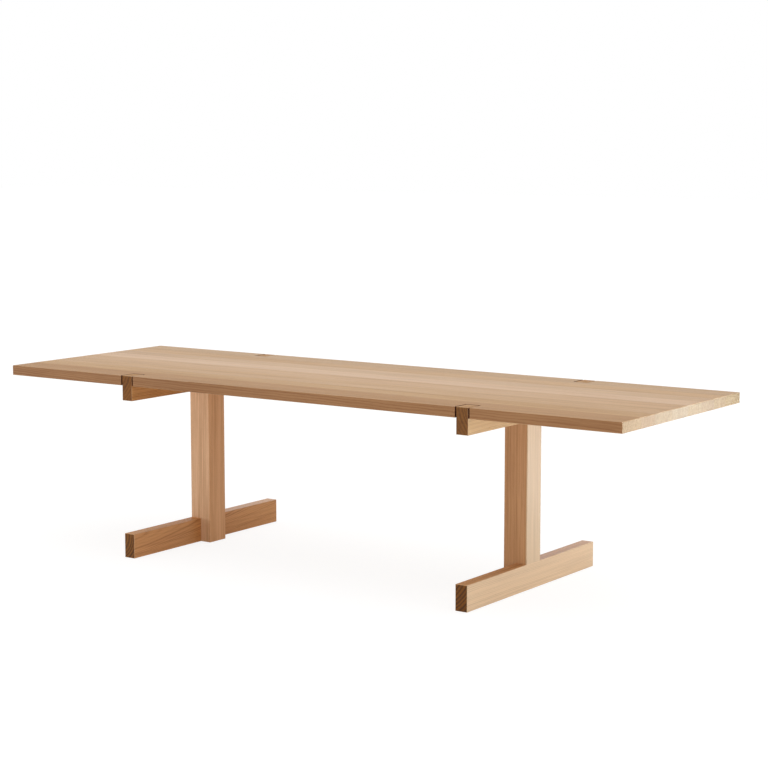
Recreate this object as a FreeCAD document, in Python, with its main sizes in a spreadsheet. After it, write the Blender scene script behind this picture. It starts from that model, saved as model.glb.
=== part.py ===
import FreeCAD, Part
import math
import os
import re
import Sketcher

# A trestle dining table in solid oak: a top of edge-glued boards on two lapped post-and-beam trestles.
# X runs along the table, Y across it to the back, Z up. The origin is on the floor, under the top's middle.

# Driving sizes in millimetres
SIZES = {
    # top
    "table_length": 2850,
    "table_width": 930,
    "table_height": 740,
    "top_thickness": 40,
    "end_overhang": 610,
    "notch_gap": 6,
    "edge_ease": 1,
    "cut_overrun": 1,
    # post
    "post_width": 100,
    "post_depth": 100,
    # foot
    "foot_thickness": 50,
    "foot_height": 98,
    "foot_length": 930,
    # bearer, with a tongue at each end that rises through the top
    "bearer_thickness": 50,
    "bearer_height": 100,
    "tongue_length": 70,
    # dowels across the glued laps
    "dowel_diameter": 12,
    "dowel_length": 60,
    "dowel_ease": 1,
    "dowel_fit": 0.1,
    "dowel_end_gap": 1,
    "foot_dowel_spread": 56,
    "foot_dowel_rise": 46,
    "bearer_dowel_spread": 64,
    # bolts from the bearer into the top, with play for the seasonal movement of the wood
    "bolt_diameter": 8,
    "bolt_length": 60,
    "bolt_head_diameter": 13,
    "bolt_head_height": 8,
    "bolt_socket_width": 6,
    "bolt_socket_depth": 4,
    "bolt_play": 3,
    "washer_diameter": 24,
    "washer_thickness": 2,
    "washer_fit": 0.2,
    "counterbore_depth": 20,
    "bolt_insert_diameter": 14,
    "bolt_insert_length": 22,
    # fits that the threaded inserts share
    "thread_fit": 0.1,
    "insert_fit": 0.1,
    "insert_end_gap": 2,
    # steel plate on the end of the post
    "plate_length": 220,
    "plate_thickness": 5,
    "plate_gap": 1,
    "plate_ease": 2,
    "screw_diameter": 6,
    "screw_length": 70,
    "screw_head_diameter": 12,
    "screw_spread": 28,
    "screw_sink": 0.2,
    "screw_fit": 0.1,
    "screw_end_gap": 2,
    "plate_bolt_diameter": 6,
    "plate_bolt_length": 18,
    "plate_bolt_head_diameter": 10,
    "plate_bolt_head_height": 6,
    "plate_bolt_socket_width": 5,
    "plate_bolt_socket_depth": 3,
    "plate_bolt_play": 1,
    "plate_bolt_inset": 28,
    "plate_insert_diameter": 12,
    "plate_insert_length": 16,
    # felt glides
    "glide_diameter": 30,
    "glide_thickness": 4,
    "glide_recess": 2,
    "glide_inset": 60,
    "glide_fit": 0.2,
    "glide_ease": 0.5,
}

# Width of each board as a share of the top's width, from the front edge to the back edge
BOARD_WIDTH_SHARES = (0.148, 0.110, 0.138, 0.138, 0.114, 0.114, 0.105, 0.133)

# Boards that take a bolt from each bearer, counted from zero at the front
BOLTED_BOARDS = (1, 2, 5, 6)

# The bevel of a bolt head or tip, as a share of the bolt's diameter
BOLT_BEVEL_SHARE = 0.1

# Size of an outline before its corners are held in place
ROUGH = SIZES["top_thickness"]

# How near an edge must be to a side of its piece to count as lying on it, as a share of the piece
NEAR_SHARE = 1e-6

SIDES = (("left", -1), ("right", 1))
HALF_TURN = 180
COUNTERSINK_ANGLE = 90
LOW = {"x": "XMin", "y": "YMin", "z": "ZMin"}
HIGH = {"x": "XMax", "y": "YMax", "z": "ZMax"}

# Sums of sizes that several pieces share
FLOOR_GAP = "(glide_thickness - glide_recess)"
FOOT_TOP = "(glide_thickness - glide_recess + foot_height)"
BEARER_BOTTOM = "(table_height - bearer_height)"
UNDERSIDE = "(table_height - top_thickness)"
POST_TOP = "(table_height - top_thickness - plate_thickness)"
TRESTLE_FACE = "(table_length / 2 - end_overhang)"
INNER_HALF = "(-(post_width + bearer_thickness) / 2)"
PLATE_BOLT_REACH = "(plate_length / 2 - plate_bolt_inset)"

doc = FreeCAD.newDocument("trestle_table")
sheet = doc.addObject("Spreadsheet::Sheet", "Sizes")
for row, (size_name, size) in enumerate(SIZES.items(), 1):
    sheet.set("A%d" % row, size_name)
    sheet.set("B%d" % row, str(size))
    sheet.setAlias("B%d" % row, size_name)
doc.recompute()

parts = []


def bind(thing, what, sum_text):
    """Ties a property to a sum of sizes, each read from its cell in the sheet."""
    cells = re.sub(r"[a-z]\w*", lambda word: "Sizes." + word[0] if word[0] in SIZES else word[0], sum_text)
    thing.setExpression(what, cells)


def new_piece(label, side=0):
    """A piece of the table; a trestle's piece goes to its side, and the left one is turned round."""
    body = doc.addObject("PartDesign::Body", label)
    body.Label = label
    parts.append(body)
    if side < 0:
        turn = FreeCAD.Rotation(FreeCAD.Vector(0, 0, 1), HALF_TURN)
        body.Placement = FreeCAD.Placement(FreeCAD.Vector(0, 0, 0), turn)
    if side:
        bind(body, "Placement.Base.x", "%d * %s" % (side, TRESTLE_FACE))
    return body


def new_sketch(body, name, plane_role, offset="0"):
    """A sketch parallel to one of the body's own planes."""
    sketch = body.newObject("Sketcher::SketchObject", name)
    plane = next(plane for plane in body.Origin.OriginFeatures if plane.Role == plane_role)
    sketch.AttachmentSupport = [(plane, "")]
    sketch.MapMode = "FlatFace"
    bind(sketch, "AttachmentOffset.Base.z", offset)
    return sketch


def hold(sketch, geometry, point, across, up):
    """Holds a point of the sketch at two sums of sizes."""
    for kind, sum_text in (("DistanceX", across), ("DistanceY", up)):
        index = sketch.addConstraint(Sketcher.Constraint(kind, -1, 1, geometry, point, ROUGH))
        bind(sketch, "Constraints[%d]" % index, sum_text)


def draw_outline(sketch, corners):
    """A closed outline of straight lines."""
    turns = [2 * math.pi * number / len(corners) for number in range(len(corners))]
    start = [FreeCAD.Vector(ROUGH * math.cos(turn), ROUGH * math.sin(turn), 0) for turn in turns]
    lines = [sketch.addGeometry(Part.LineSegment(first, second), False)
             for first, second in zip(start, start[1:] + start[:1])]
    for line, following in zip(lines, lines[1:] + lines[:1]):
        sketch.addConstraint(Sketcher.Constraint("Coincident", line, 2, following, 1))
    for line, (across, up) in zip(lines, corners):
        hold(sketch, line, 1, across, up)


def draw_box(sketch, left, low, right, high):
    draw_outline(sketch, [(left, low), (right, low), (right, high), (left, high)])


def draw_circle(sketch, across, up, diameter):
    circle = sketch.addGeometry(Part.Circle(FreeCAD.Vector(0, 0, 0), FreeCAD.Vector(0, 0, 1), ROUGH), False)
    hold(sketch, circle, 3, across, up)
    index = sketch.addConstraint(Sketcher.Constraint("Diameter", circle, ROUGH))
    bind(sketch, "Constraints[%d]" % index, diameter)


def draw_hexagon(sketch, across, up, width):
    reach = "(%s) / sqrt(3)" % width
    draw_outline(sketch, [("%s + %s * cos(%d * 60 deg)" % (across, reach, number),
                           "%s + %s * sin(%d * 60 deg)" % (up, reach, number)) for number in range(6)])


def grow(body, kind, sketch, length, middle=False, reverse=False):
    """Pads or pockets a sketch, and makes sure that the volume really changes."""
    doc.recompute()
    before = body.Shape.Volume if body.Tip else 0
    feature = body.newObject("PartDesign::" + kind, sketch.Name + "_" + kind.lower())
    feature.Profile = sketch
    bind(feature, "Length", length)
    feature.SideType = "Symmetric" if middle else "One side"
    feature.Reversed = reverse
    doc.recompute()
    if feature.Shape.isNull() or feature.Shape.Volume == before:
        raise ValueError("%s changes nothing" % feature.Name)
    return feature


def drill(body, sketch, diameter, cut_type, cut_diameter, reverse=False, cut_depth=None):
    """Holes right through, with a counterbore or a countersink at the sketch."""
    doc.recompute()
    before = body.Shape.Volume
    hole = body.newObject("PartDesign::Hole", sketch.Name + "_hole")
    hole.Profile = sketch
    hole.DepthType = "ThroughAll"
    hole.Reversed = reverse
    bind(hole, "Diameter", diameter)
    hole.HoleCutType = cut_type
    bind(hole, "HoleCutDiameter", cut_diameter)
    if cut_depth:
        bind(hole, "HoleCutDepth", cut_depth)
    else:
        hole.HoleCutCountersinkAngle = COUNTERSINK_ANGLE
    doc.recompute()
    if hole.Shape.isNull() or hole.Shape.Volume >= before:
        raise ValueError("%s cuts nothing" % hole.Name)


def ease(body, name, size, *side_groups):
    """Chamfers each edge that lies on every side of one of the groups, such as ("x-", "z+")."""
    base = body.Tip
    box = base.Shape.BoundBox
    near = NEAR_SHARE * box.DiagonalLength

    def lies_on(edge, side):
        axis, end = side
        face = getattr(box, (LOW if end == "-" else HIGH)[axis])
        reach = (getattr(edge.BoundBox, LOW[axis]), getattr(edge.BoundBox, HIGH[axis]))
        return all(abs(place - face) < near for place in reach)

    edges = ["Edge%d" % number for number, edge in enumerate(base.Shape.Edges, 1)
             if any(all(lies_on(edge, side) for side in group) for group in side_groups)]
    chamfer = body.newObject("PartDesign::Chamfer", name)
    chamfer.Base = (base, edges)
    bind(chamfer, "Size", size)
    doc.recompute()


def ease_beside_post(body, name, beam_length, corners):
    """Chamfers the long edges of a beam on both free lengths and leaves them sharp in the joint."""
    for end, offset in (("front", "post_depth / 2"), ("back", "-post_depth / 2")):
        sketch = new_sketch(body, "%s_%s" % (name, end), "XZ_Plane", offset)
        for across, up, out, rise in corners:
            beyond_across = "%s + %d * cut_overrun" % (across, out)
            beyond_up = "%s + %d * cut_overrun" % (up, rise)
            draw_outline(sketch, [(beyond_across, beyond_up),
                                  ("%s - %d * (edge_ease + cut_overrun)" % (across, out), beyond_up),
                                  (beyond_across, "%s - %d * (edge_ease + cut_overrun)" % (up, rise))])
        grow(body, "Pocket", sketch, beam_length, reverse=end == "front")


def board_place(number, part_share=0):
    """A place across the table, at a share of one board's width from its front edge."""
    share = sum(BOARD_WIDTH_SHARES[:number]) + part_share * BOARD_WIDTH_SHARES[number]
    return "((%.5f - 1 / 2) * table_width)" % share


def bolt_places(side):
    """Where a bearer's bolts stand in the trestle."""
    return [("(-bearer_thickness / 2)", "(%d * %s)" % (side, board_place(number, 1 / 2)))
            for number in BOLTED_BOARDS]


def plate_bolt_places():
    return [(INNER_HALF, "(%d * %s)" % (end, PLATE_BOLT_REACH)) for end in (-1, 1)]


def foot_dowel_places():
    middle = "(%s + foot_height / 2)" % FLOOR_GAP
    return [("(%d * foot_dowel_spread / 2)" % end, "(%s + %d * foot_dowel_rise / 2)" % (middle, rise))
            for end in (-1, 1) for rise in (-1, 1)]


def bearer_dowel_places():
    middle = "((%s + %s) / 2)" % (BEARER_BOTTOM, UNDERSIDE)
    return [("(%d * bearer_dowel_spread / 2)" % end, middle) for end in (-1, 1)]


def foot_glide_places():
    return [("(-foot_thickness / 2)", "(%d * (foot_length / 2 - glide_inset))" % end) for end in (-1, 1)]


def post_glide_places():
    return [("(-(post_width + foot_thickness) / 2)", "0")]


def screw_places():
    return [(INNER_HALF, "(%d * screw_spread / 2)" % end) for end in (-1, 1)]


def bore(body, name, plane_role, offset, places, diameter, depth, reverse=False):
    """Round blind holes or recesses that start on a plane."""
    sketch = new_sketch(body, name, plane_role, offset)
    for across, up in places:
        draw_circle(sketch, across, up, diameter)
    grow(body, "Pocket", sketch, depth, reverse=reverse)


def raise_rounds(body, name, plane_role, offset, places, diameter, length, bore_diameter=None):
    """Round pegs or rings that start on a plane."""
    sketch = new_sketch(body, name, plane_role, offset)
    for across, up in places:
        draw_circle(sketch, across, up, diameter)
        if bore_diameter:
            draw_circle(sketch, across, up, bore_diameter)
    return grow(body, "Pad", sketch, length)


def make_board(number, label):
    body = new_piece(label)
    bind(body, "Placement.Base.y", board_place(number))
    bind(body, "Placement.Base.z", UNDERSIDE)
    width = "(%.5f * table_width)" % BOARD_WIDTH_SHARES[number]
    section = new_sketch(body, label + "_section", "YZ_Plane")
    draw_box(section, "0", "0", width, "top_thickness")
    grow(body, "Pad", section, "table_length", middle=True)

    free_edges = [(end, face) for end in ("x-", "x+") for face in ("z-", "z+")]
    last = len(BOARD_WIDTH_SHARES) - 1
    if number in (0, last):
        edge = "y-" if number == 0 else "y+"
        free_edges += [(edge, other) for other in ("x-", "x+", "z-", "z+")]
    ease(body, label + "_arris", "edge_ease", *free_edges)

    # Open notches for the tongues of the bearers
    if number in (0, last):
        notches = new_sketch(body, label + "_notches", "XY_Plane", "-cut_overrun")
        for _, side in SIDES:
            ends = ("%d * (%s - bearer_thickness - notch_gap)" % (side, TRESTLE_FACE),
                    "%d * (%s + notch_gap)" % (side, TRESTLE_FACE))
            depth = "(tongue_length + notch_gap)"
            if number == 0:
                draw_box(notches, ends[0], "-cut_overrun", ends[1], depth)
            else:
                draw_box(notches, ends[0], "%s - %s" % (width, depth), ends[1], width + " + cut_overrun")
        grow(body, "Pocket", notches, "top_thickness + 2 * cut_overrun", reverse=True)

    # Blind holes for the threaded inserts
    if number in BOLTED_BOARDS:
        middles = [("%d * (%s - bearer_thickness / 2)" % (side, TRESTLE_FACE), width + " / 2")
                   for _, side in SIDES]
        bore(body, label + "_bolt_holes", "XY_Plane", "0", middles, "bolt_insert_diameter + 2 * insert_fit",
             "bolt_insert_length + insert_end_gap", reverse=True)
    reach = SIZES["plate_length"] / 2 - SIZES["plate_bolt_inset"]
    hole_radius = SIZES["plate_insert_diameter"] / 2 + SIZES["insert_fit"]
    front = (sum(BOARD_WIDTH_SHARES[:number]) - 1 / 2) * SIZES["table_width"]
    back = front + BOARD_WIDTH_SHARES[number] * SIZES["table_width"]
    middles = [("%d * (%s + %s)" % (side, TRESTLE_FACE, INNER_HALF),
                "%d * %s - %s" % (end, PLATE_BOLT_REACH, board_place(number)))
               for _, side in SIDES for end in (-1, 1)
               if front - hole_radius < end * reach < back + hole_radius]
    if middles:
        bore(body, label + "_plate_holes", "XY_Plane", "0", middles,
             "plate_insert_diameter + 2 * insert_fit", "plate_insert_length + insert_end_gap", reverse=True)


def make_bearer(label, side):
    body = new_piece(label, side)
    profile = new_sketch(body, label + "_profile", "YZ_Plane")
    shoulder = "(table_width / 2 - tongue_length)"
    half = [("table_width / 2", BEARER_BOTTOM), ("table_width / 2", "table_height"),
            (shoulder, "table_height"), (shoulder, UNDERSIDE)]
    draw_outline(profile, half + [("-" + across, up) for across, up in reversed(half)])
    grow(body, "Pad", profile, "bearer_thickness", reverse=True)
    ends = [(end, other) for end in ("y-", "y+") for other in ("x-", "x+", "z-")]
    ease(body, label + "_arris", "edge_ease", ("z+",), *ends)
    ease_beside_post(body, label + "_edge", "table_width",
                     [("0", BEARER_BOTTOM, 1, -1), ("-bearer_thickness", BEARER_BOTTOM, -1, -1)])
    bolts = new_sketch(body, label + "_bolts", "XY_Plane", BEARER_BOTTOM)
    for across, up in bolt_places(side):
        draw_circle(bolts, across, up, "bolt_diameter")
    drill(body, bolts, "bolt_diameter + 2 * bolt_play", "Counterbore", "washer_diameter + 2 * bolt_play",
          reverse=True, cut_depth="counterbore_depth")
    bore(body, label + "_dowel_holes", "YZ_Plane", "-bearer_thickness", bearer_dowel_places(),
         "dowel_diameter + 2 * dowel_fit", "dowel_length / 2 + dowel_end_gap", reverse=True)


def make_post(label, side):
    body = new_piece(label, side)
    profile = new_sketch(body, label + "_profile", "XZ_Plane")
    draw_outline(profile, [("-post_width", FLOOR_GAP), ("-foot_thickness", FLOOR_GAP),
                           ("-foot_thickness", FOOT_TOP), ("0", FOOT_TOP),
                           ("0", BEARER_BOTTOM), ("-bearer_thickness", BEARER_BOTTOM),
                           ("-bearer_thickness", POST_TOP), ("-post_width", POST_TOP)])
    grow(body, "Pad", profile, "post_depth", middle=True)
    ease(body, label + "_arris", "edge_ease", ("x-", "y-"), ("x-", "y+"), ("x+", "y-"), ("x+", "y+"),
         ("z-", "x-"), ("z-", "y-"), ("z-", "y+"))
    hole = "dowel_diameter + 2 * dowel_fit"
    depth = "dowel_length / 2 + dowel_end_gap"
    bore(body, label + "_foot_dowel_holes", "YZ_Plane", "-foot_thickness", foot_dowel_places(), hole, depth)
    bore(body, label + "_bearer_dowel_holes", "YZ_Plane", "-bearer_thickness", bearer_dowel_places(), hole,
         depth)
    bore(body, label + "_screw_holes", "XY_Plane", POST_TOP, screw_places(),
         "screw_diameter + 2 * screw_fit", "screw_length + screw_sink - plate_thickness + screw_end_gap")
    bore(body, label + "_glide_recess", "XY_Plane", FLOOR_GAP, post_glide_places(),
         "glide_diameter + 2 * glide_fit", "glide_recess", reverse=True)


def make_foot(label, side):
    body = new_piece(label, side)
    section = new_sketch(body, label + "_section", "XZ_Plane")
    draw_box(section, "-foot_thickness", FLOOR_GAP, "0", FOOT_TOP)
    grow(body, "Pad", section, "foot_length", middle=True)
    ends = [(end, other) for end in ("y-", "y+") for other in ("x-", "x+", "z-", "z+")]
    ease(body, label + "_arris", "edge_ease", ("z-", "x-"), ("z-", "x+"), *ends)
    ease_beside_post(body, label + "_edge", "foot_length",
                     [("0", FOOT_TOP, 1, 1), ("-foot_thickness", FOOT_TOP, -1, 1)])
    bore(body, label + "_dowel_holes", "YZ_Plane", "-foot_thickness", foot_dowel_places(),
         "dowel_diameter + 2 * dowel_fit", "dowel_length / 2 + dowel_end_gap", reverse=True)
    bore(body, label + "_glide_recesses", "XY_Plane", FLOOR_GAP, foot_glide_places(),
         "glide_diameter + 2 * glide_fit", "glide_recess", reverse=True)


def make_dowels(label, side, lap, places):
    body = new_piece(label, side)
    raise_rounds(body, label + "_pegs", "YZ_Plane", "-%s - dowel_length / 2" % lap, places, "dowel_diameter",
                 "dowel_length")
    ease(body, label + "_arris", "dowel_ease", ("x-",), ("x+",))


def make_bolts(label, side, bolt, seat, places):
    """Socket-head bolts that point up, with the head under the seat."""
    body = new_piece(label, side)
    head_height = bolt + "_head_height"
    bevel = "%.3f * %s_diameter" % (BOLT_BEVEL_SHARE, bolt)
    head_bottom = "%s - %s" % (seat, head_height)
    raise_rounds(body, label + "_heads", "XY_Plane", head_bottom, places, bolt + "_head_diameter",
                 head_height)
    ease(body, label + "_head_bevel", bevel, ("z-",))
    raise_rounds(body, label + "_shanks", "XY_Plane", seat, places, bolt + "_diameter", bolt + "_length")
    ease(body, label + "_tip_bevel", bevel, ("z+",))
    sockets = new_sketch(body, label + "_sockets", "XY_Plane", head_bottom)
    for across, up in places:
        draw_hexagon(sockets, across, up, bolt + "_socket_width")
    grow(body, "Pocket", sockets, bolt + "_socket_depth", reverse=True)


def make_inserts(label, side, places, diameter, length, bolt_diameter):
    body = new_piece(label, side)
    raise_rounds(body, label + "_sleeves", "XY_Plane", UNDERSIDE, places, diameter, length,
                 bolt_diameter + " + 2 * thread_fit")


def make_plate(label, side):
    body = new_piece(label, side)
    outline = new_sketch(body, label + "_outline", "XY_Plane", POST_TOP)
    draw_box(outline, "-post_width + plate_gap", "-plate_length / 2",
             "-bearer_thickness - plate_gap", "plate_length / 2")
    grow(body, "Pad", outline, "plate_thickness")
    ease(body, label + "_corners", "plate_ease", ("x-", "y-"), ("x-", "y+"), ("x+", "y-"), ("x+", "y+"))
    bore(body, label + "_bolt_holes", "XY_Plane", POST_TOP, plate_bolt_places(),
         "plate_bolt_diameter + 2 * plate_bolt_play", "plate_thickness", reverse=True)
    screws = new_sketch(body, label + "_screws", "XY_Plane", UNDERSIDE)
    for across, up in screw_places():
        draw_circle(screws, across, up, "screw_diameter")
    drill(body, screws, "screw_diameter + 2 * screw_fit", "Countersink", "screw_head_diameter")


def make_screws(label, side):
    """Countersunk screws that point down into the end of the post."""
    body = new_piece(label, side)
    head_top = "(%s - screw_sink)" % UNDERSIDE
    raise_rounds(body, label + "_shanks", "XY_Plane", "%s - screw_length" % head_top, screw_places(),
                 "screw_diameter", "screw_length")
    heads = new_sketch(body, label + "_heads", "XY_Plane", head_top)
    for across, up in screw_places():
        draw_circle(heads, across, up, "screw_head_diameter - 2 * screw_sink - 2 * screw_fit")
    cone = grow(body, "Pad", heads, "(screw_head_diameter - screw_diameter) / 2 - screw_sink - screw_fit",
                reverse=True)
    cone.TaperAngle = -COUNTERSINK_ANGLE / 2
    doc.recompute()


def make_glides(label, side):
    body = new_piece(label, side)
    raise_rounds(body, label + "_discs", "XY_Plane", "0", foot_glide_places() + post_glide_places(),
                 "glide_diameter", "glide_thickness")
    ease(body, label + "_rim", "glide_ease", ("z-",))


# Top, from the front edge to the back edge
board_names = ["front"] + [str(number) for number in range(2, len(BOARD_WIDTH_SHARES))] + ["back"]
for board_number, board_name in enumerate(board_names):
    make_board(board_number, "top_board_" + board_name)

# Two trestles with what joins them to the top
bolt_seat = "(%s + counterbore_depth - washer_thickness)" % BEARER_BOTTOM
for side_name, side_sign in SIDES:
    make_bearer(side_name + "_bearer", side_sign)
    make_post(side_name + "_post", side_sign)
    make_foot(side_name + "_foot", side_sign)
    make_dowels(side_name + "_foot_dowels", side_sign, "foot_thickness", foot_dowel_places())
    make_dowels(side_name + "_bearer_dowels", side_sign, "bearer_thickness", bearer_dowel_places())
    make_bolts(side_name + "_top_bolts", side_sign, "bolt", bolt_seat, bolt_places(side_sign))
    washers = new_piece(side_name + "_bolt_washers", side_sign)
    raise_rounds(washers, side_name + "_washer_rings", "XY_Plane", bolt_seat, bolt_places(side_sign),
                 "washer_diameter", "washer_thickness", "bolt_diameter + 2 * washer_fit")
    make_inserts(side_name + "_bolt_inserts", side_sign, bolt_places(side_sign), "bolt_insert_diameter",
                 "bolt_insert_length", "bolt_diameter")
    make_plate(side_name + "_fixing_plate", side_sign)
    make_screws(side_name + "_plate_screws", side_sign)
    make_bolts(side_name + "_plate_bolts", side_sign, "plate_bolt", POST_TOP, plate_bolt_places())
    make_inserts(side_name + "_plate_inserts", side_sign, plate_bolt_places(), "plate_insert_diameter",
                 "plate_insert_length", "plate_bolt_diameter")
    make_glides(side_name + "_floor_glides", side_sign)

# Checks and files
doc.recompute()
for thing in doc.Objects:
    if "Invalid" in thing.State or "Error" in thing.State:
        raise ValueError("%s can't be built" % thing.Label)
os.makedirs("parts", exist_ok=True)
for piece in parts:
    if piece.Shape.isNull() or not piece.Shape.isValid():
        raise ValueError("%s has no valid shape" % piece.Label)
    piece.Shape.exportStep("parts/%s.step" % piece.Label)
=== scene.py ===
"""Trestle dining table: oiled oak boards and trestles with their fittings, in a plain pale studio."""
import math
from collections import namedtuple

import bmesh
import bpy
from bpy.props import FloatProperty, FloatVectorProperty, PointerProperty
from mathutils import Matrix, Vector


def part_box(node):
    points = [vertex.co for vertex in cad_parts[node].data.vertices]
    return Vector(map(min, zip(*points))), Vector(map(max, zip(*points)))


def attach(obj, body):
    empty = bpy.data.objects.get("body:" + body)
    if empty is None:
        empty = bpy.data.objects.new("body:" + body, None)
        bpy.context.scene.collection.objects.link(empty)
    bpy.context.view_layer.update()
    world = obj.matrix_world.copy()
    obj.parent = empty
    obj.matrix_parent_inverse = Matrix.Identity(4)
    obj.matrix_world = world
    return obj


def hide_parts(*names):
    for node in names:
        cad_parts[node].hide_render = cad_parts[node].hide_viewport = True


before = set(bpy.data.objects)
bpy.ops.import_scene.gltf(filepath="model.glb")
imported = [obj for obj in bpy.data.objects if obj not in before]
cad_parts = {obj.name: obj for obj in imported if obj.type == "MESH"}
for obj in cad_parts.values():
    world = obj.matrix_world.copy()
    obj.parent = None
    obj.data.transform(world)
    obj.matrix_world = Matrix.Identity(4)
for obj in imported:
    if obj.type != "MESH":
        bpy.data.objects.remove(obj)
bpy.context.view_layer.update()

bl_info = {
    "name": "Trestle Dining Table",
    "version": (1, 0, 0),
    "blender": (4, 5, 0),
    "location": "View3D > Sidebar > Table",
    "description": "Finishes an oak trestle table and sets it in a plain studio",
    "category": "Object",
}

SIDES = ("left", "right")
FRONT_BOARD = "top_board_front"
BACK_BOARD = "top_board_back"

# How one length of timber was sawn and finished: where the heart of the tree lies from its middle, across the
# width and the thickness, how far the heart leans for each metre along it, the stain of its faces and of its
# ends, how rough its oiled faces are, and the seed of its pattern.
Timber = namedtuple("Timber", "heart lean stain end_stain rough seed")

BOARD_TIMBER = {
    FRONT_BOARD: Timber((0.20, -0.10), (0.010, 0.006), (0.85, 0.85, 0.73), (0.75, 0.83, 0.80), 0.50, 1),
    "top_board_2": Timber((-0.26, 0.03), (-0.006, 0.010), (0.98, 1.03, 0.83), (0.59, 0.60, 0.69), 0.42, 2),
    "top_board_3": Timber((0.17, -0.10), (0.012, -0.008), (1.03, 1.10, 0.95), (0.58, 0.66, 0.83), 0.36, 3),
    "top_board_4": Timber((-0.24, -0.04), (0.004, 0.012), (1.04, 1.09, 0.91), (0.57, 0.70, 1.02), 0.34, 4),
    "top_board_5": Timber((0.30, 0.05), (-0.008, 0.006), (1.17, 1.27, 1.20), (0.48, 0.54, 0.59), 0.28, 5),
    "top_board_6": Timber((-0.20, 0.08), (0.010, 0.010), (1.04, 1.13, 1.03), (0.50, 0.53, 0.60), 0.32, 6),
    "top_board_7": Timber((0.23, -0.03), (-0.010, 0.004), (1.01, 1.06, 0.84), (0.51, 0.55, 0.58), 0.36, 7),
    BACK_BOARD: Timber((-0.28, -0.06), (0.006, -0.010), (0.96, 1.08, 1.06), (0.57, 0.60, 0.47), 0.40, 8),
}
BEAM_TIMBER = {
    "left_bearer": Timber((0.12, 0.09), (0.012, 0.010), (0.92, 0.77, 0.51), (0.37, 0.295, 0.13), 0.75, 11),
    "right_bearer": Timber(
        (-0.15, 0.07), (-0.010, 0.006), (0.96, 1.15, 1.07), (0.333, 0.193, 0.073), 0.54, 22
    ),
    "left_post": Timber((0.12, -0.17), (0.010, 0.006), (1.33, 1.50, 1.80), (0.50, 0.45, 0.40), 0.60, 13),
    "right_post": Timber((-0.12, -0.15), (-0.008, 0.010), (0.92, 0.86, 0.75), (0.50, 0.47, 0.44), 0.42, 14),
    "left_foot": Timber((0.10, 0.07), (0.030, 0.060), (1.26, 1.14, 0.79), (0.235, 0.175, 0.066), 0.38, 15),
    "right_foot": Timber((0.20, 0.22), (-0.040, 0.030), (1.12, 1.08, 0.96), (0.20, 0.126, 0.012), 0.42, 16),
}
# How rough the sanded ends of the top's boards and the sawn ends of the beams are, and all undersides.
BOARD_END_ROUGH = 0.52
BEAM_END_ROUGH = 0.71
UNDERSIDE_ROUGH = 0.75
# How plain the ring bands show on the ends of the boards, of the bearers, and of the posts and feet.
BOARD_RING_MARKS = 0.15
BEARER_RING_MARKS = 0.45
BEAM_RING_MARKS = 1.0
# How deep the layer of other colour on one side of a beam goes, painted shade or painted sheen on all but the
# right bearer, and how deep the painted shade on the top's long edges goes.
SIDE_DEPTH = 0.006
EDGE_SHADE_DEPTH = 0.0012
# Lowest and highest corner, in one quarter of the table, of the walls that stand in the gaps round a tongue,
# where shade is painted.
NOTCH_WALLS = ((0.7580, 0.3880, 0.6995), (0.8220, 0.4646, 0.7450))
TONGUE_CHEEKS = ((0.7640, 0.3940, 0.7005), (0.8160, 0.4646, 0.7450))
# How the sanded tops of the tongues change their bearer's stain, and what changes none.
TONGUE_STAIN = {"left": (1.00, 1.24, 1.75), "right": (0.87, 0.70, 0.56)}
NO_STAIN = (1.0, 1.0, 1.0)
# How much rougher the top of each foot is in front of its post, where shoes rub it, and behind it.
FOOT_RUB = {"left": (0.03, -0.11), "right": (0.28, -0.17)}
NO_RUB = (0.0, 0.0)
# The turn that lays a pattern's first axis along the grain of each kind of piece, and that axis.
ALONG_TABLE = ((0.0, 0.0, 0.0), (1.0, 0.0, 0.0))
ACROSS_TABLE = ((0.0, 0.0, math.pi / 2), (0.0, 1.0, 0.0))
UPRIGHT = ((0.0, -math.pi / 2, 0.0), (0.0, 0.0, 1.0))
# Marks in the oak: waves to the metre along the grain, and across it both ways. Streaks keep to the rings, so
# theirs are along the grain, outward from the heart, and from one seed to the next.
SWEEP_WAVES = (0.9, 3.0, 3.0)
RIPPLE_WAVES = (9.0, 22.0, 22.0)
STREAK_WAVES = (0.6, 48.0, 3.1)
BROAD_WAVES = (1.1, 8.0, 8.0)
STRAND_WAVES = (2.6, 150.0, 150.0)
FIBRE_WAVES = (6.0, 420.0, 420.0)
PORE_WAVES = (34.0, 1500.0, 1500.0)
# The sum of the marks at which the oak is at its palest.
PALEST = 1.70
# How far apart the seeds set two lengths in the same pattern, and how far their rings' numbers.
SEED_APART = (3.7, 1.9, 2.3)
SEED_YEARS = 57.0
# Painted highlight on the eased arrises: its pale colour, and how much of it shows.
ARRIS_HIGHLIGHT = (0.78, 0.55, 0.33, 1.0)
ARRIS_HIGHLIGHT_SHARE = 0.35
# How strongly oiled oak mirrors.
OIL_SPECULAR = 0.3
WHITE = (1.0, 1.0, 1.0, 1.0)


# One ring of a turned fitting: its radius and its height as shares of the fitting's named sizes, how far it
# is drawn to a hexagon, and how far it is cut by flutes.
Ring = namedtuple("Ring", "radius height hexagon flute", defaults=(0.0, 0.0))

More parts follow.
